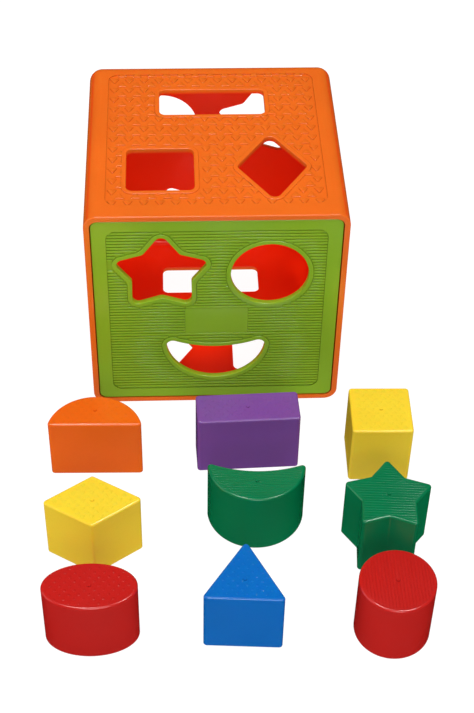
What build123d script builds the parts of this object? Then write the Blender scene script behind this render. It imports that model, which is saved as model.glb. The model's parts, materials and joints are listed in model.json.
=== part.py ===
from build123d import *
import math
import os

# Shape sorter: a moulded box with three sorting holes in each of its six faces, an inset
# front lid, and nine hollow blocks standing on the floor in front of it.
# Millimetres. +Z is up, the lid faces -Y, and the origin is the centre of the box's underside.

# Box shell
BOX_WIDTH = 152.6
BOX_DEPTH = 154.4
BOX_HEIGHT = 149.0
WALL = 3.4
EDGE_RADIUS = 8.2
RIM_RADIUS = 0.7

# Recessed field of each face, the raised bead round each hole, and the pad under the box.
# The side margin is the field's distance from the box's left, right and back edges.
FIELD_MARGIN = 11.0
FIELD_SIDE_MARGIN = 12.3
FIELD_CORNER = 6.0
FIELD_RECESS = 0.7
BEAD_WIDTH = 2.8
BEAD_ROUNDING = 0.5
FOOT_PAD_RADIUS = 6.0

# Front lid
LID_GAP = 0.45
LID_INSET = 0.5
LID_THICKNESS = 3.2
LID_EDGE = 0.6
SKIRT_THICKNESS = 2.0
SKIRT_DEPTH = 10.0
PLATE_WIDTH = 37.6
PLATE_HEIGHT = 20.0
PLATE_BELOW_CENTRE = 6.5
PLATE_CORNER = 0.8
PLATE_RISE = 0.45

# Stops inside the shell, two on each wall, that the lid's skirt seats on
STOP_LENGTH = 12.0
STOP_HEIGHT = 3.0
STOP_THICKNESS = 2.5
STOP_SPACING = 96.0
STOP_GAP = 0.1

# Blocks
BLOCK_HEIGHT = 42.3
BLOCK_WALL = 1.8
BLOCK_TOP = 2.2
BLOCK_CORNER = 2.0
BLOCK_INNER_CORNER = 0.6
BLOCK_EDGE = 1.3
BLOCK_FOOT_EDGE = 0.5
GATE_RADIUS = 0.9
GATE_HEIGHT = 0.7
HOLE_CLEARANCE = 1.9

# Block outlines
ARCH_WIDTH = 55.6
ARCH_DEPTH = 23.6
RECTANGLE_WIDTH = 61.0
RECTANGLE_DEPTH = 22.6
SQUARE_SIDE = 36.0
RHOMBUS_LENGTH = 57.2
RHOMBUS_BREADTH = 37.4
CRESCENT_WIDTH = 56.4
CRESCENT_DEPTH = 28.4
CRESCENT_DIP = 6.0
STAR_TIP_RADIUS = 26.8
STAR_NOTCH_RADIUS = 16.3
STAR_POINTS = 5
ELLIPSE_LENGTH = 51.6
ELLIPSE_BREADTH = 31.0
TRIANGLE_SIDE = 46.2
ROUND_DIAMETER = 42.0

# Extra length by which cutting tools run past the surfaces that they cut
OVERRUN = 5.0
# Depth by which beads are sunk into the wall that they are moulded on
BEAD_ROOT = 0.6


def rounded(outline, radius):
    """Round every corner of a flat outline."""
    return fillet(outline.vertices(), radius)


def grown_polygon(points, grow, corner):
    """Polygon whose edges all touch one circle about the origin, moved outwards by grow."""
    (ax, ay), (bx, by) = points[:2]
    edge_distance = abs(ax * by - bx * ay) / math.hypot(bx - ax, by - ay)
    scale = 1 + grow / edge_distance
    corners = [(x * scale, y * scale) for x, y in points]
    return rounded(Polygon(*corners, align=None), corner)


def arch_outline(grow, corner):
    """Segment of a circle with its chord on the -Y side, centred on its own box."""
    half = ARCH_WIDTH / 2
    radius = (half ** 2 + ARCH_DEPTH ** 2) / (2 * ARCH_DEPTH)
    disc = Pos(0, ARCH_DEPTH / 2 - radius) * Circle(radius + grow)
    chord_side = Rectangle(4 * radius, 4 * radius, align=(Align.CENTER, Align.MAX))
    below = Pos(0, -ARCH_DEPTH / 2 - grow) * chord_side
    return rounded(disc - below, corner)


def rectangle_outline(grow, corner):
    return RectangleRounded(RECTANGLE_WIDTH + 2 * grow, RECTANGLE_DEPTH + 2 * grow, corner)


def square_outline(grow, corner):
    return RectangleRounded(SQUARE_SIDE + 2 * grow, SQUARE_SIDE + 2 * grow, corner)


def rhombus_outline(grow, corner):
    """Rhombus with its long diagonal along X."""
    half_length = RHOMBUS_LENGTH / 2
    half_breadth = RHOMBUS_BREADTH / 2
    points = [(-half_length, 0), (0, -half_breadth), (half_length, 0), (0, half_breadth)]
    return grown_polygon(points, grow, corner)


def crescent_outline(grow, corner):
    """Smile: a round lower edge and a shallow dip between two tips on the +Y side."""
    half = CRESCENT_WIDTH / 2
    top = CRESCENT_DEPTH / 2
    outer_radius = (half ** 2 + CRESCENT_DEPTH ** 2) / (2 * CRESCENT_DEPTH)
    inner_radius = (half ** 2 + CRESCENT_DIP ** 2) / (2 * CRESCENT_DIP)
    disc = Pos(0, outer_radius - top) * Circle(outer_radius + grow)
    dip = Pos(0, top + inner_radius - CRESCENT_DIP) * Circle(inner_radius - grow)
    return rounded(disc - dip, corner)


def star_outline(grow, corner):
    """Broad five-pointed star with one tip towards +Y."""
    points = []
    for step in range(2 * STAR_POINTS):
        radius = STAR_NOTCH_RADIUS if step % 2 else STAR_TIP_RADIUS
        angle = math.pi / 2 + math.pi * step / STAR_POINTS
        points.append((radius * math.cos(angle), radius * math.sin(angle)))
    return grown_polygon(points, grow, corner)


def ellipse_outline(grow, corner):
    return Ellipse(ELLIPSE_LENGTH / 2 + grow, ELLIPSE_BREADTH / 2 + grow)


def triangle_outline(grow, corner):
    """Equilateral triangle about its centroid, with one tip towards +Y."""
    radius = TRIANGLE_SIDE / math.sqrt(3)
    points = []
    for angle in (90, 210, 330):
        turn = math.radians(angle)
        points.append((radius * math.cos(turn), radius * math.sin(turn)))
    return grown_polygon(points, grow, corner)


def round_outline(grow, corner):
    return Circle(ROUND_DIAMETER / 2 + grow)


OUTLINES = {
    "arch": arch_outline,
    "rectangle": rectangle_outline,
    "square": square_outline,
    "rhombus": rhombus_outline,
    "crescent": crescent_outline,
    "star": star_outline,
    "ellipse": ellipse_outline,
    "triangle": triangle_outline,
    "round": round_outline,
}

# Centre of each hole from the centre of its face, seen from outside, and its turn in degrees
FACE_HOLES = {
    "front": [("star", -32.3, 30.8, 0), ("round", 31.2, 29.6, 0), ("crescent", -0.3, -37.9, 0)],
    "top": [("rectangle", 0.0, 34.8, 0), ("square", -32.2, -33.0, 0), ("rhombus", 33.7, -30.9, 90)],
    "side": [("arch", 0.0, 40.5, 0), ("ellipse", -31.0, -26.0, 0), ("triangle", 32.5, -29.0, 0)],
}

# Centre of each block from the middle of the box's front edge, and its turn in degrees
BLOCK_PLACES = {
    "arch": (-72.8, -47.8, -1.0),
    "rectangle": (17.4, -46.9, 2.0),
    "square": (96.1, -51.0, -1.2),
    "rhombus": (-72.7, -117.2, 1.2),
    "crescent": (19.9, -105.4, -2.2),
    "star": (93.6, -117.1, -3.8),
    "ellipse": (-72.7, -176.4, 0.0),
    "triangle": (10.0, -174.5, -3.8),
    "round": (91.7, -177.3, 0.0),
}


def outline_round(shape, gap, turn=0):
    """A block's own outline with a gap all round it, turned as the hole is."""
    return Rot(0, 0, turn) * OUTLINES[shape](gap, BLOCK_CORNER + gap)


def shell_body(width, depth, height, radius):
    """Block with a sharp-edged front and every other edge rounded, its front face at Y = 0."""
    body = Box(width, depth, height, align=(Align.CENTER, Align.MIN, Align.MIN))
    body = fillet(body.edges().filter_by(Axis.Y), radius)
    return fillet(body.faces().sort_by(Axis.Y)[-1].edges(), radius)


def cut_hole(plane, shape, x, y, turn):
    """Tool that opens a sorting hole through a wall."""
    outline = plane * (Pos(x, y) * outline_round(shape, HOLE_CLEARANCE, turn))
    return extrude(outline, OVERRUN, dir=plane.z_dir) + extrude(outline, WALL + OVERRUN, dir=-plane.z_dir)


def bead(plane, shape, x, y, turn):
    """Raised rounded bead round a sorting hole, level with the plain border of the face."""
    hole = outline_round(shape, HOLE_CLEARANCE, turn)
    ring = outline_round(shape, HOLE_CLEARANCE + BEAD_WIDTH, turn) - hole
    height = FIELD_RECESS + BEAD_ROOT
    solid = extrude(ring, -height)
    solid = fillet(solid.faces().sort_by(Axis.Z)[-1].edges(), BEAD_ROUNDING)
    return plane * (Pos(x, y) * solid)


def patterned(body, plane, holes, field_width, field_height, shift_x, shift_y):
    """Give a wall its recessed field, its sorting holes and their beads."""
    field = Pos(shift_x, shift_y) * RectangleRounded(field_width, field_height, FIELD_CORNER)
    body = body - extrude(plane * field, FIELD_RECESS, dir=-plane.z_dir)
    for shape, x, y, turn in holes:
        body = body - cut_hole(plane, shape, x, y, turn)
        body = body + bead(plane, shape, x, y, turn)
    return body


def wall_planes():
    """Outward plane of each wall of the shell, with the holes and field that it carries."""
    middle = BOX_HEIGHT / 2
    field_width = BOX_WIDTH - 2 * FIELD_SIDE_MARGIN
    field_depth = BOX_DEPTH - FIELD_MARGIN - FIELD_SIDE_MARGIN
    field_height = BOX_HEIGHT - 2 * FIELD_MARGIN
    shift = (FIELD_MARGIN - FIELD_SIDE_MARGIN) / 2
    top = Plane((0, 0, BOX_HEIGHT), x_dir=(1, 0, 0), z_dir=(0, 0, 1))
    bottom = Plane((0, 0, 0), x_dir=(-1, 0, 0), z_dir=(0, 0, -1))
    left = Plane((-BOX_WIDTH / 2, 0, middle), x_dir=(0, -1, 0), z_dir=(-1, 0, 0))
    right = Plane((BOX_WIDTH / 2, 0, middle), x_dir=(0, 1, 0), z_dir=(1, 0, 0))
    back = Plane((0, BOX_DEPTH / 2, middle), x_dir=(-1, 0, 0), z_dir=(0, 1, 0))
    return [
        (top, "top", field_width, field_depth, 0, shift),
        (bottom, "top", field_width, field_depth, 0, shift),
        (left, "side", field_depth, field_height, -shift, 0),
        (right, "side", field_depth, field_height, shift, 0),
        (back, "front", field_width, field_height, 0, 0),
    ]


def lid_stops():
    """Eight small blocks on the shell's inner walls, just behind the lid's skirt."""
    seat = -BOX_DEPTH / 2 + LID_INSET + LID_THICKNESS + SKIRT_DEPTH + STOP_GAP
    length = STOP_THICKNESS
    high = STOP_HEIGHT + WALL / 2
    inner_x = BOX_WIDTH / 2 - WALL / 2 - high / 2
    low_z = WALL / 2 + high / 2
    stops = []
    for side in (-1, 1):
        offset_along = side * STOP_SPACING / 2
        for x in (-inner_x, inner_x):
            place = Pos(x, seat + length / 2, BOX_HEIGHT / 2 + offset_along)
            stops.append(place * Box(high, length, STOP_LENGTH))
        for z in (low_z, BOX_HEIGHT - low_z):
            place = Pos(offset_along, seat + length / 2, z)
            stops.append(place * Box(STOP_LENGTH, length, high))
    return stops


def make_box_shell():
    front = -BOX_DEPTH / 2
    outer = Pos(0, front, 0) * shell_body(BOX_WIDTH, BOX_DEPTH, BOX_HEIGHT, EDGE_RADIUS)
    outer = fillet(outer.faces().sort_by(Axis.Y)[0].edges(), RIM_RADIUS)
    inner_depth = BOX_DEPTH - WALL
    inner = shell_body(BOX_WIDTH - 2 * WALL, inner_depth + OVERRUN, BOX_HEIGHT - 2 * WALL,
                       EDGE_RADIUS - WALL)
    shell = outer - Pos(0, front - OVERRUN, WALL) * inner
    for stop in lid_stops():
        shell = shell + stop
    for plane, pattern, width, height, shift_x, shift_y in wall_planes():
        shell = patterned(shell, plane, FACE_HOLES[pattern], width, height, shift_x, shift_y)
    foot_pad = Pos(0, 0, FIELD_RECESS / 2) * Cylinder(FOOT_PAD_RADIUS, FIELD_RECESS)
    return shell + foot_pad


def make_front_lid():
    width = BOX_WIDTH - 2 * (WALL + LID_GAP)
    height = BOX_HEIGHT - 2 * (WALL + LID_GAP)
    corner = EDGE_RADIUS - WALL - LID_GAP
    face = Plane((0, -BOX_DEPTH / 2 + LID_INSET, BOX_HEIGHT / 2), x_dir=(1, 0, 0), z_dir=(0, -1, 0))
    outline = RectangleRounded(width, height, corner)
    inside = RectangleRounded(width - 2 * SKIRT_THICKNESS, height - 2 * SKIRT_THICKNESS,
                              corner - SKIRT_THICKNESS)
    plate = extrude(outline, -LID_THICKNESS)
    plate = fillet(plate.faces().sort_by(Axis.Z)[-1].edges(), LID_EDGE)
    skirt = extrude(outline - inside, -LID_THICKNESS - SKIRT_DEPTH)
    skirt = skirt - extrude(outline, -LID_THICKNESS / 2)
    lid = face * (plate + skirt)
    name_plate = Pos(0, -PLATE_BELOW_CENTRE) * RectangleRounded(PLATE_WIDTH, PLATE_HEIGHT, PLATE_CORNER)
    lid = patterned(lid, face, FACE_HOLES["front"], BOX_WIDTH - 2 * FIELD_SIDE_MARGIN,
                    BOX_HEIGHT - 2 * FIELD_MARGIN, 0, 0)
    floor = Plane(face.origin - FIELD_RECESS * face.z_dir, x_dir=face.x_dir, z_dir=face.z_dir)
    return lid + extrude(floor * name_plate, PLATE_RISE, dir=face.z_dir)


def make_block(shape):
    """Open-bottomed hollow block with a rounded top edge and a small moulding nub on top."""
    body = extrude(outline_round(shape, 0), BLOCK_HEIGHT)
    body = fillet(body.faces().sort_by(Axis.Z)[-1].edges(), BLOCK_EDGE)
    body = fillet(body.faces().sort_by(Axis.Z)[0].edges(), BLOCK_FOOT_EDGE)
    cavity = OUTLINES[shape](-BLOCK_WALL, BLOCK_INNER_CORNER)
    body = body - extrude(cavity, BLOCK_HEIGHT - BLOCK_TOP)
    nub = Pos(0, 0, BLOCK_HEIGHT) * Cylinder(GATE_RADIUS, 2 * GATE_HEIGHT)
    body = body + nub
    x, in_front, turn = BLOCK_PLACES[shape]
    return Pos(x, in_front - BOX_DEPTH / 2, 0) * Rot(0, 0, turn) * body


def main():
    os.makedirs("parts", exist_ok=True)
    export_step(make_box_shell(), "parts/box_shell.step")
    export_step(make_front_lid(), "parts/front_lid.step")
    for shape in OUTLINES:
        export_step(make_block(shape), f"parts/{shape}_block.step")


main()
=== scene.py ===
import json
import math

import bpy
from mathutils import Matrix, Vector
from mathutils.bvhtree import BVHTree

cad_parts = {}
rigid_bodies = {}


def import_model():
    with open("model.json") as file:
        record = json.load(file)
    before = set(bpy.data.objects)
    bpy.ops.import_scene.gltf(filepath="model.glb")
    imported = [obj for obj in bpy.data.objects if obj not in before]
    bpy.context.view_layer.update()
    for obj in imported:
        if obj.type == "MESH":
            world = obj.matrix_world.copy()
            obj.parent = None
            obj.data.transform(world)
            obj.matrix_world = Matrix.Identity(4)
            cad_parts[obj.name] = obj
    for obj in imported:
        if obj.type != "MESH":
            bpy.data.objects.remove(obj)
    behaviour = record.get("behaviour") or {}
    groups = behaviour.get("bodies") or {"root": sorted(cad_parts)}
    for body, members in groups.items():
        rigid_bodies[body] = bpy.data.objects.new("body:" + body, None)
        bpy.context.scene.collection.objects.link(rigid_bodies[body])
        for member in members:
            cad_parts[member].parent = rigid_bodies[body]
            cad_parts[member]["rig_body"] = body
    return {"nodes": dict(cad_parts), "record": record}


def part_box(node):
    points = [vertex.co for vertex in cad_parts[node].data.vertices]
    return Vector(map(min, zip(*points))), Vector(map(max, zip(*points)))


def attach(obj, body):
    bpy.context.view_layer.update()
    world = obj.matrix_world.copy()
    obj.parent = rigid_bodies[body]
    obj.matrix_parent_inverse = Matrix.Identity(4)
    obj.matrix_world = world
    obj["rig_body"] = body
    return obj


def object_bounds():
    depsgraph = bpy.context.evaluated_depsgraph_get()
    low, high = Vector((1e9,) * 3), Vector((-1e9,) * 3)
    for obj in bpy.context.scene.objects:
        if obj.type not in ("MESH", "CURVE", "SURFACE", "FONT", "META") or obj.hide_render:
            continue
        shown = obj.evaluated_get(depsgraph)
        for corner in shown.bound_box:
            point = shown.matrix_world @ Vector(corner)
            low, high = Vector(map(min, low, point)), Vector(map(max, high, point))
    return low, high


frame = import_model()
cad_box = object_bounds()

# Looks of the shape sorter: moulded relief on its faces and blocks, plastics, light and camera.
# Lengths are in metres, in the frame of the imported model.

MM = 0.001
NODES = frame["nodes"]
SLOT_OF = {part["node"]: part["material_slot"] for part in frame["record"]["subparts"]}

# Camera: where it stands, how it is turned (degrees), its lens and its sensor (millimetres)
CAMERA_PLACE = Vector((-0.0258, -0.7566, 0.6981))
CAMERA_YAW = 3.26
CAMERA_PITCH = 44.12
CAMERA_ROLL = 1.35
CAMERA_LENS = 77.78
CAMERA_SENSOR = 36.0

# Studio: a pale floor that glows as a light table does, two softboxes overhead, one in front, a wide
# panel on the left, a fill lamp in the box and an even room. The floor and the room light the object
# but don't mirror in it, and the backdrop round the floor is only seen. Each softbox has its place,
# its side and how bright its face is.
FLOOR_SIZE = 8.0
FLOOR_TONE = 0.16
FLOOR_GLOW = 0.93
ROOM_LIGHT = 0.3
BACKDROP_RADIUS = 3.9
BACKDROP_HEIGHT = 2.5
BACKDROP_GLOW = 0.88
BACKDROP_SIDES = 96
SOFTBOXES = {
    "softbox_left": ((-0.22, -0.2, 1.3), 0.26, 27.0),
    "softbox_right": ((0.42, -0.2, 1.3), 0.26, 27.0),
    "softbox_front": ((0.1, -1.5, 0.95), 0.7, 4.3),
    "side_panel": ((-1.3, -0.3, 0.6), 1.1, 0.9),
}
FILL_POWER = 0.045
FILL_RADIUS = 0.03

# Plastic colours, as 8-bit sRGB
COLOURS = {
    "orange_box": (236, 109, 28),
    "green_lid": (137, 178, 37),
    "orange_block": (240, 103, 14),
    "purple_block": (124, 73, 155),
    "yellow_block": (255, 214, 52),
    "green_block": (0, 121, 73),
    "red_block": (196, 28, 23),
    "blue_block": (2, 108, 194),
}

# Painted red bounce light inside the box: its plastic turns to this colour between these two depths
# below its outside
PAINTED_BOUNCE_COLOUR = (246, 44, 4)
PAINTED_BOUNCE_DEPTHS = (1.19 * MM, 3.4 * MM)

# Painted shade: creases within this reach are darker in colour by this factor
PAINTED_CREASE_SHADE_REACH = 1.2 * MM
PAINTED_CREASE_SHADE = 0.64
PAINTED_CREASE_SHADE_SAMPLES = 6

# Finish of every plastic. Finenesses are in noise cells to the metre.
MOTTLE_FINENESS = 22.0
MOTTLE_SHADES = (0.96, 1.03)
SPECKLE_FINENESS = 900.0
SPECKLE_SHADE = 0.8
GLOSS_FINENESS = 40.0
ROUGHNESS = (0.19, 0.23)
SPECULAR_LEVEL = 0.75
PEEL_FINENESS = 700.0
PEEL_STRENGTH = 0.1
PEEL_HEIGHT = 0.03 * MM
SCATTER_WEIGHT = 0.25
SCATTER_SHARES = (1.0, 0.35, 0.15)
SCATTER_REACH = 3.0 * MM

# Relief moulded on the recessed fields and on the tops of the blocks
RIB_PITCH = 2.2 * MM
RIB_WIDTH = 1.7 * MM
RIB_RISE = 0.62 * MM
BLOCK_RIB_PITCH = 1.8 * MM
BLOCK_RIB_WIDTH = 1.4 * MM
BLOCK_RIB_RISE = 0.14 * MM
# Marks stand in two lattices, one shifted by half a pitch both ways: (across, along)
MARK_PITCH = (9.2 * MM, 10.2 * MM)
TOP_MARK_START = (4.3 * MM, -2.2 * MM)
BLOCK_MARK_PITCH = (5.2 * MM, 5.8 * MM)
TRIANGLE_SIDE = 5.8 * MM
TRIANGLE_RISE = 0.6 * MM
DOT_RADIUS = 1.4 * MM
DOT_RISE = 0.5 * MM
DOT_SIDES = 14
BLOCK_MARK_SCALE = 0.52
BLOCK_MARK_RISE = 0.07 * MM
# Depth by which relief is sunk into the plastic under it, and the length of a rib's eased end
SINK = 0.3 * MM
RIB_EASE = 0.35 * MM
# Edges of the relief sharper than this angle in degrees stay sharp
SHARP_ANGLE = 38

# How fields are felt out: steps each way from the middle, the depths that count as one and as level,
# the longest ray, and the step along a rib
FLOOR_STEPS = 40
DEPTH_STEP = 0.02 * MM
LEVEL_TOLERANCE = 0.06 * MM
RAY_LENGTH = 5 * MM
SCAN_STEP = 0.3 * MM

# Turn of the relief on each block's top, in degrees: the block's own turn on the floor, and a quarter
# turn on the round block, whose ribs run from front to back
BLOCK_TURNS = {
    "arch_block": -1.0,
    "rectangle_block": 2.0,
    "square_block": -1.2,
    "rhombus_block": 1.2,
    "crescent_block": -2.2,
    "star_block": -3.8,
    "ellipse_block": 0.0,
    "triangle_block": -3.8,
    "round_block": 90.0,
}
BLOCK_RELIEF = {
    "arch_block": "dots",
    "rectangle_block": "triangles",
    "square_block": "triangles",
    "rhombus_block": "triangles",
    "crescent_block": "ribs",
    "star_block": "ribs",
    "ellipse_block": "dots",
    "triangle_block": "dots",
    "round_block": "ribs",
}


# ---------------------------------------------------------------- colours and materials


def linear(colour):
    """8-bit sRGB to the linear colour that shaders take."""
    def channel(value):
        share = value / 255
        return share / 12.92 if share <= 0.04045 else ((share + 0.055) / 1.055) ** 2.4
    return (*map(channel, colour), 1.0)


class Shader:
    """A material's node tree, with short calls for adding and joining nodes."""

    def __init__(self, name):
        self.material = bpy.data.materials.new(name)
        self.material.use_nodes = True
        self.tree = self.material.node_tree
        self.tree.nodes.clear()
        self.output = self.tree.nodes.new("ShaderNodeOutputMaterial")
        self.place = self.add("ShaderNodeTexCoord").outputs["Object"]

    def add(self, kind, **inputs):
        node = self.tree.nodes.new(kind)
        for key, value in inputs.items():
            self.feed(node.inputs[key.replace("_", " ")], value)
        return node

    def feed(self, socket, value):
        if isinstance(value, bpy.types.NodeSocket):
            self.tree.links.new(value, socket)
        else:
            socket.default_value = value

    def noise(self, scale, detail=2.0):
        node = self.add("ShaderNodeTexNoise", Vector=self.place, Scale=scale, Detail=detail)
        return node.outputs["Fac"]

    def remap(self, value, low, high, to_low=0.0, to_high=1.0):
        node = self.add("ShaderNodeMapRange", Value=value)
        node.inputs["From Min"].default_value = low
        node.inputs["From Max"].default_value = high
        node.inputs["To Min"].default_value = to_low
        node.inputs["To Max"].default_value = to_high
        return node.outputs["Result"]

    def math(self, operation, a, b):
        node = self.tree.nodes.new("ShaderNodeMath")
        node.operation = operation
        self.feed(node.inputs[0], a)
        self.feed(node.inputs[1], b)
        return node.outputs["Value"]

    def mix(self, share, a, b):
        node = self.tree.nodes.new("ShaderNodeMix")
        node.data_type = "RGBA"
        self.feed(node.inputs["Factor"], share)
        self.feed(node.inputs["A"], a)
        self.feed(node.inputs["B"], b)
        return node.outputs["Result"]


def shade(colour, factor):
    """A linear colour made darker or lighter by a factor."""
    return (*(min(1.0, c * factor) for c in colour[:3]), 1.0)


def plastic(slot, paint_bounce=None):
    """Moulded plastic: mottled colour, painted shade in its creases, uneven gloss and a trace of orange
    peel. paint_bounce(shader, colour), if given, paints red bounce light on parts of the surface."""
    shader = Shader(slot)
    base = linear(COLOURS[slot])
    cloud = shader.remap(shader.noise(MOTTLE_FINENESS), 0.3, 0.7)
    colour = shader.mix(cloud, *(shade(base, factor) for factor in MOTTLE_SHADES))
    speckle = shader.remap(shader.noise(SPECKLE_FINENESS, 3.0), 0.5, 0.8, 0.0, 0.2)
    colour = shader.mix(speckle, colour, shade(base, SPECKLE_SHADE))
    # Painted shade: the occlusion node darkens the colour in creases and gaps
    painted_shade_occlusion = shader.add("ShaderNodeAmbientOcclusion", Distance=PAINTED_CREASE_SHADE_REACH)
    painted_shade_occlusion.samples = PAINTED_CREASE_SHADE_SAMPLES
    openness = shader.remap(painted_shade_occlusion.outputs["AO"], 0.4, 0.85)
    colour = shader.mix(openness, shade(base, PAINTED_CREASE_SHADE), colour)
    # Painted red bounce light, given for the box only
    if paint_bounce:
        colour = paint_bounce(shader, colour)
    roughness = shader.remap(shader.noise(GLOSS_FINENESS, 3.0), 0.3, 0.7, *ROUGHNESS)
    peel = shader.add("ShaderNodeBump", Height=shader.noise(PEEL_FINENESS))
    peel.inputs["Strength"].default_value = PEEL_STRENGTH
    peel.inputs["Distance"].default_value = PEEL_HEIGHT
    surface = shader.add("ShaderNodeBsdfPrincipled", Roughness=roughness)
    shader.feed(surface.inputs["Base Color"], colour)
    shader.feed(surface.inputs["Normal"], peel.outputs["Normal"])
    surface.inputs["Specular IOR Level"].default_value = SPECULAR_LEVEL
    surface.inputs["Subsurface Weight"].default_value = SCATTER_WEIGHT
    surface.inputs["Subsurface Radius"].default_value = SCATTER_SHARES
    surface.inputs["Subsurface Scale"].default_value = SCATTER_REACH
    shader.feed(shader.output.inputs["Surface"], surface.outputs["BSDF"])
    return shader.material


def paint_inside_bounce(shader, colour):
    """Painted red bounce light: the box's colour turns strong red through the walls' thickness and over
    its inner faces, as light bounced inside the orange box would redden it.
    """
    low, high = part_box("box_shell")
    axes = shader.add("ShaderNodeSeparateXYZ", Vector=shader.place)
    depth = None
    for name, start, end in zip("XYZ", low, high):
        place = axes.outputs[name]
        near = shader.math("SUBTRACT", place, start)
        far = shader.math("SUBTRACT", end, place)
        nearest = shader.math("MINIMUM", near, far)
        depth = nearest if depth is None else shader.math("MINIMUM", depth, nearest)
    share = shader.remap(depth, *PAINTED_BOUNCE_DEPTHS)
    return shader.mix(share, colour, linear(PAINTED_BOUNCE_COLOUR))


def dress(piece, material):
    """Give a piece one material in place of whatever it came with."""
    if not piece.material_slots:
        piece.data.materials.append(material)
    for place in piece.material_slots:
        place.material = material


# ---------------------------------------------------------------- relief


class Field:
    """A flat region of a CAD node, with its own axes, that relief can be moulded on."""

    def __init__(self, name, node, normal, across, turn=0.0):
        self.name = name
        self.node = node
        self.normal = Vector(normal)
        spin = Matrix.Rotation(math.radians(turn), 3, self.normal)
        self.across = spin @ Vector(across)
        self.along = self.normal.cross(self.across)
        low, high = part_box(node)
        centre = (low + high) / 2
        reach = (high - low) / 2
        self.centre = centre + self.normal * abs(self.normal.dot(reach))
        self.half_across = sum(abs(a * r) for a, r in zip(self.across, reach))
        self.half_along = sum(abs(a * r) for a, r in zip(self.along, reach))
        mesh = NODES[node].data
        corners = [v.co for v in mesh.vertices]
        self.tree = BVHTree.FromPolygons(corners, [p.vertices for p in mesh.polygons])
        self.floor = self.common_depth()

    def point(self, u, v, rise=0.0):
        """A point at u across and v along, rise above the field's floor."""
        return self.centre + self.across * u + self.along * v + self.normal * (rise - self.floor)

    def solid(self, u, v):
        """True where the surface is at the floor's level or above it."""
        depth = self.depth(u, v)
        return depth is not None and depth < self.floor + LEVEL_TOLERANCE

    def depth(self, u, v):
        """How far below the outermost plane the surface lies at u, v."""
        start = self.centre + self.across * u + self.along * v + self.normal * MM
        hit = self.tree.ray_cast(start, -self.normal, RAY_LENGTH)
        return hit[3] - MM if hit[0] else None

    def common_depth(self):
        """The depth that most of the region has, which is its floor's."""
        found = []
        for i in range(-FLOOR_STEPS, FLOOR_STEPS + 1):
            for j in range(-FLOOR_STEPS, FLOOR_STEPS + 1):
                depth = self.depth(self.half_across * i / FLOOR_STEPS, self.half_along * j / FLOOR_STEPS)
                if depth is not None:
                    found.append(round(depth / DEPTH_STEP))
        return max(set(found), key=found.count) * DEPTH_STEP

    def plain(self, u, v):
        """True where nothing but the floor is there."""
        depth = self.depth(u, v)
        return depth is not None and abs(depth - self.floor) < LEVEL_TOLERANCE


def add_solid(mesh, field, rings, where):
    """Close a stack of rings, each a list of (u, v) and a rise, into a solid. mesh is (corners, faces),
    and where is the solid's (u, v) on the field."""
    corners, faces = mesh
    start = len(corners)
    count = len(rings[0][0])
    for outline, rise in rings:
        corners.extend(field.point(where[0] + u, where[1] + v, rise) for u, v in outline)
    for level in range(len(rings) - 1):
        for i in range(count):
            a = start + level * count + i
            b = start + level * count + (i + 1) % count
            faces.append((a, b, b + count, a + count))
    faces.append(tuple(start + i for i in reversed(range(count))))
    faces.append(tuple(start + (len(rings) - 1) * count + i for i in range(count)))


def finish_relief(field, mesh, suffix):
    """Turn collected corners and faces into a piece that rides with the field's body."""
    node = NODES[field.node]
    data = bpy.data.meshes.new(field.name + suffix)
    data.from_pydata(mesh[0], [], mesh[1])
    data.shade_smooth()
    data.set_sharp_from_angle(angle=math.radians(SHARP_ANGLE))
    piece = bpy.data.objects.new(field.name + suffix, data)
    bpy.context.scene.collection.objects.link(piece)
    dress(piece, node.material_slots[0].material)
    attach(piece, node["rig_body"])


def triangle_rings(side, rise, point_to):
    """A low three-sided boss with softened corners and top edge. point_to is 1 for a tip towards
    +v and -1 for one towards -v."""
    def outline(size):
        reach = size / math.sqrt(3)
        corner = 0.05 * size
        ring = []
        for k in range(3):
            heading = math.radians(90 * point_to + 120 * k)
            centre = Vector((math.cos(heading), math.sin(heading))) * (reach - 2 * corner)
            for step in (-60, -20, 20, 60):
                turn = heading + math.radians(step)
                ring.append((centre.x + corner * math.cos(turn), centre.y + corner * math.sin(turn)))
        return ring
    edge = 0.35 * rise
    return [
        (outline(side), -SINK),
        (outline(side), rise - edge),
        (outline(side - 1.2 * edge), rise - 0.3 * edge),
        (outline(side - 3 * edge), rise),
    ]


def dot_rings(radius, rise):
    """A low round boss with a softened top edge."""
    def outline(size):
        turns = [math.tau * k / DOT_SIDES for k in range(DOT_SIDES)]
        return [(size * math.cos(turn), size * math.sin(turn)) for turn in turns]
    return [
        (outline(radius), -SINK),
        (outline(radius), 0.7 * rise),
        (outline(0.94 * radius), 0.93 * rise),
        (outline(0.8 * radius), rise),
    ]


def add_marks(field, stamps, suffix, pitch=MARK_PITCH, start=(0.0, 0.0)):
    """Stamp two staggered lattices of marks where the floor is plain. stamps has one shape for each
    lattice. A mark may run under a bead or the border, which stand higher, but not into a hole."""
    mesh = ([], [])
    for shift, rings in enumerate(stamps):
        columns = math.ceil(field.half_across / pitch[0])
        rows = math.ceil(field.half_along / pitch[1])
        for i in range(-columns, columns + 1):
            for j in range(-rows, rows + 1):
                u = start[0] + (i + shift / 2) * pitch[0]
                v = start[1] + (j + shift / 2) * pitch[1]
                rim = [(u + 1.1 * du, v + 1.1 * dv) for du, dv in rings[0][0]]
                if field.plain(u, v) and all(field.solid(*spot) for spot in rim):
                    add_solid(mesh, field, rings, (u, v))
    finish_relief(field, mesh, suffix)


def rib_section(width, rise):
    """Broad section with steep flanks, as (v, rise) pairs from one foot over the crest to the other."""
    def steep(value):
        return math.copysign(abs(value) ** 0.6, value)
    arc = [math.radians(a) for a in (0, 20, 45, 70, 90, 110, 135, 160, 180)]
    crest = [(width / 2 * steep(math.cos(a)), rise * steep(math.sin(a))) for a in arc]
    return [(width / 2, -SINK), *crest, (-width / 2, -SINK)]


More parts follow.
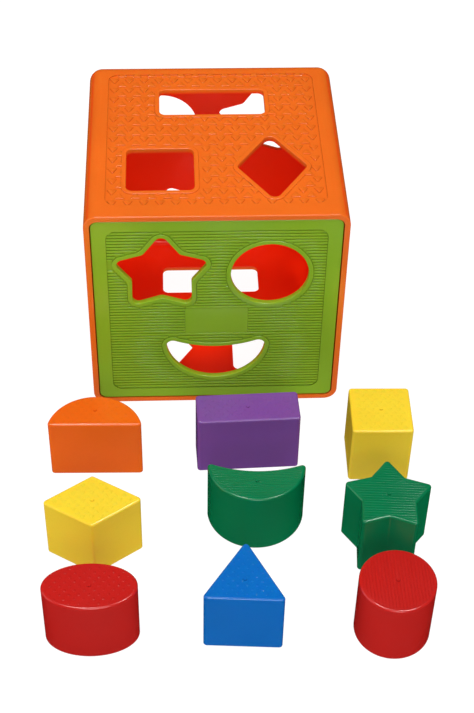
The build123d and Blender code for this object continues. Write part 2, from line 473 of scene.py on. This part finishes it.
def add_ribs(field, pitch, width, rise, suffix):
    """Lay parallel ribs across the field, each broken where something else stands on the floor."""
    mesh = ([], [])
    section = rib_section(width, rise)
    lines = math.ceil(field.half_along / pitch)
    steps = math.ceil(field.half_across / SCAN_STEP)
    for line in range(-lines, lines + 1):
        v = line * pitch
        start = None
        for step in range(-steps, steps + 2):
            u = step * SCAN_STEP
            clear = all(field.plain(u, v + side * width / 2) for side in (-1, 0, 1))
            if clear and start is None:
                start = u
            if not clear and start is not None:
                if u - start > 2 * width:
                    add_rib(mesh, field, section, start, u - SCAN_STEP, v)
                start = None
    finish_relief(field, mesh, suffix)


def add_rib(mesh, field, section, start, end, v):
    """One closed rib from start to end, whose crest eases down at both ends."""
    corners, faces = mesh
    first = len(corners)
    count = len(section)
    stations = [(start, 0.55), (start + RIB_EASE, 1.0), (end - RIB_EASE, 1.0), (end, 0.55)]
    for u, scale in stations:
        corners.extend(field.point(u, v + dv, dr * scale if dr > 0 else dr) for dv, dr in section)
    for station in range(len(stations) - 1):
        for i in range(count):
            a = first + station * count + i
            b = first + station * count + (i + 1) % count
            faces.append((b, a, a + count, b + count))
    faces.append(tuple(first + i for i in range(count)))
    faces.append(tuple(first + (len(stations) - 1) * count + i for i in reversed(range(count))))


# ---------------------------------------------------------------- stage


def make_floor():
    """A pale sheet under the object that lights it from below."""
    half = FLOOR_SIZE / 2
    data = bpy.data.meshes.new("floor")
    square = [(-half, -half, 0), (half, -half, 0), (half, half, 0), (-half, half, 0)]
    data.from_pydata(square, [], [(0, 1, 2, 3)])
    floor = bpy.data.objects.new("floor", data)
    bpy.context.scene.collection.objects.link(floor)
    shader = Shader("floor")
    grain = shader.remap(shader.noise(3.0), 0.3, 0.7)
    tone = (FLOOR_TONE, FLOOR_TONE, FLOOR_TONE, 1.0)
    colour = shader.mix(grain, tone, shade(tone, 0.97))
    paper = shader.add("ShaderNodeBsdfDiffuse", Color=colour)
    glow = shader.add("ShaderNodeEmission", Strength=FLOOR_GLOW)
    both = shader.add("ShaderNodeAddShader")
    shader.feed(both.inputs[0], paper.outputs["BSDF"])
    shader.feed(both.inputs[1], glow.outputs["Emission"])
    shader.feed(shader.output.inputs["Surface"], both.outputs["Shader"])
    floor.visible_glossy = False
    dress(floor, shader.material)


def make_backdrop():
    """A pale wall all round the floor's edge, which is seen from low down and lights nothing."""
    sides = BACKDROP_SIDES
    heads = [math.tau * k / sides for k in range(sides)]
    ring = [(BACKDROP_RADIUS * math.cos(a), BACKDROP_RADIUS * math.sin(a)) for a in heads]
    corners = [(x, y, z) for z in (0.0, BACKDROP_HEIGHT) for x, y in ring]
    faces = []
    for k in range(sides):
        after = (k + 1) % sides
        faces.append((k, after, after + sides, k + sides))
    data = bpy.data.meshes.new("backdrop")
    data.from_pydata(corners, [], faces)
    data.shade_smooth()
    backdrop = bpy.data.objects.new("backdrop", data)
    bpy.context.scene.collection.objects.link(backdrop)
    shader = Shader("backdrop")
    cloud = shader.remap(shader.noise(0.6), 0.3, 0.7)
    colour = shader.mix(cloud, (0.97, 0.97, 0.97, 1.0), (1.0, 1.0, 1.0, 1.0))
    glow = shader.add("ShaderNodeEmission", Color=colour, Strength=BACKDROP_GLOW)
    shader.feed(shader.output.inputs["Surface"], glow.outputs["Emission"])
    dress(backdrop, shader.material)
    backdrop.visible_diffuse = False
    backdrop.visible_glossy = False
    backdrop.visible_shadow = False


def add_light(name, kind, place, power):
    """A light that shows only by what it lights and by its reflections."""
    lamp = bpy.data.lights.new(name, kind)
    lamp.energy = power
    light = bpy.data.objects.new(name, lamp)
    bpy.context.scene.collection.objects.link(light)
    light.location = place
    light.visible_camera = False
    return light


def make_lights():
    """The softboxes, each facing the object, and the fill lamp in the middle of the box."""
    middle = (cad_box[0] + cad_box[1]) / 2
    for name, (place, side, brightness) in SOFTBOXES.items():
        light = add_light(name, "AREA", place, math.pi * side ** 2 * brightness)
        light.data.shape = "SQUARE"
        light.data.size = side
        light.rotation_mode = "QUATERNION"
        light.rotation_quaternion = (middle - Vector(place)).to_track_quat("-Z", "Y")
    low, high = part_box("box_shell")
    fill = add_light("box_fill", "POINT", (low + high) / 2, FILL_POWER)
    fill.data.shadow_soft_size = FILL_RADIUS
    fill.visible_glossy = False


def make_room():
    """Even light from all round, which doesn't mirror in the object."""
    world = bpy.data.worlds.new("room")
    world.use_nodes = True
    background = world.node_tree.nodes["Background"]
    background.inputs["Color"].default_value = (1.0, 1.0, 1.0, 1.0)
    background.inputs["Strength"].default_value = ROOM_LIGHT
    world.cycles_visibility.glossy = False
    bpy.context.scene.world = world
    bpy.context.scene.view_settings.view_transform = "Standard"


def make_camera():
    """The camera, with its yaw measured from +Y towards +X and its pitch downwards."""
    yaw, pitch, roll = (math.radians(a) for a in (CAMERA_YAW, CAMERA_PITCH, CAMERA_ROLL))
    ahead = Vector((math.sin(yaw) * math.cos(pitch), math.cos(yaw) * math.cos(pitch), -math.sin(pitch)))
    level = Vector((math.cos(yaw), -math.sin(yaw), 0.0))
    upright = level.cross(ahead)
    right = math.cos(roll) * level + math.sin(roll) * upright
    up = math.cos(roll) * upright - math.sin(roll) * level
    data = bpy.data.cameras.new("camera")
    data.lens = CAMERA_LENS
    data.sensor_width = CAMERA_SENSOR
    camera = bpy.data.objects.new("camera", data)
    bpy.context.scene.collection.objects.link(camera)
    turn = Matrix((right, up, -ahead)).transposed().to_4x4()
    camera.matrix_world = Matrix.Translation(CAMERA_PLACE) @ turn
    bpy.context.scene.camera = camera


# ---------------------------------------------------------------- build


def dress_nodes():
    """Give every CAD node its slot's plastic."""
    materials = {}
    for slot in COLOURS:
        materials[slot] = plastic(slot, paint_inside_bounce if slot == "orange_box" else None)
    for name, node in NODES.items():
        dress(node, materials[SLOT_OF[name]])


def relieve_box():
    """Ribs on the lid and the back, triangles on the top and the bottom, dots on the sides."""
    ribs = (RIB_PITCH, RIB_WIDTH, RIB_RISE, "_ribs")
    triangles = [triangle_rings(TRIANGLE_SIDE, TRIANGLE_RISE, way) for way in (-1, 1)]
    dots = [dot_rings(DOT_RADIUS, DOT_RISE)] * 2
    top = {"start": TOP_MARK_START}
    add_ribs(Field("lid_front", "front_lid", (0, -1, 0), (1, 0, 0)), *ribs)
    add_ribs(Field("box_back", "box_shell", (0, 1, 0), (-1, 0, 0)), *ribs)
    add_marks(Field("box_top", "box_shell", (0, 0, 1), (1, 0, 0)), triangles, "_triangles", **top)
    add_marks(Field("box_bottom", "box_shell", (0, 0, -1), (-1, 0, 0)), triangles, "_triangles", **top)
    add_marks(Field("box_left", "box_shell", (-1, 0, 0), (0, -1, 0)), dots, "_dots")
    add_marks(Field("box_right", "box_shell", (1, 0, 0), (0, 1, 0)), dots, "_dots")


def relieve_blocks():
    """Finer relief of each block's own kind on its top."""
    side = TRIANGLE_SIDE * BLOCK_MARK_SCALE
    triangles = [triangle_rings(side, BLOCK_MARK_RISE, way) for way in (-1, 1)]
    dots = [dot_rings(DOT_RADIUS * BLOCK_MARK_SCALE, BLOCK_MARK_RISE)] * 2
    for node, relief in BLOCK_RELIEF.items():
        field = Field(node, node, (0, 0, 1), (1, 0, 0), BLOCK_TURNS[node])
        if relief == "ribs":
            add_ribs(field, BLOCK_RIB_PITCH, BLOCK_RIB_WIDTH, BLOCK_RIB_RISE, "_ribs")
        else:
            stamps = triangles if relief == "triangles" else dots
            add_marks(field, stamps, "_" + relief, BLOCK_MARK_PITCH)


make_camera()
make_floor()
make_backdrop()
make_lights()
make_room()
dress_nodes()
relieve_box()
relieve_blocks()
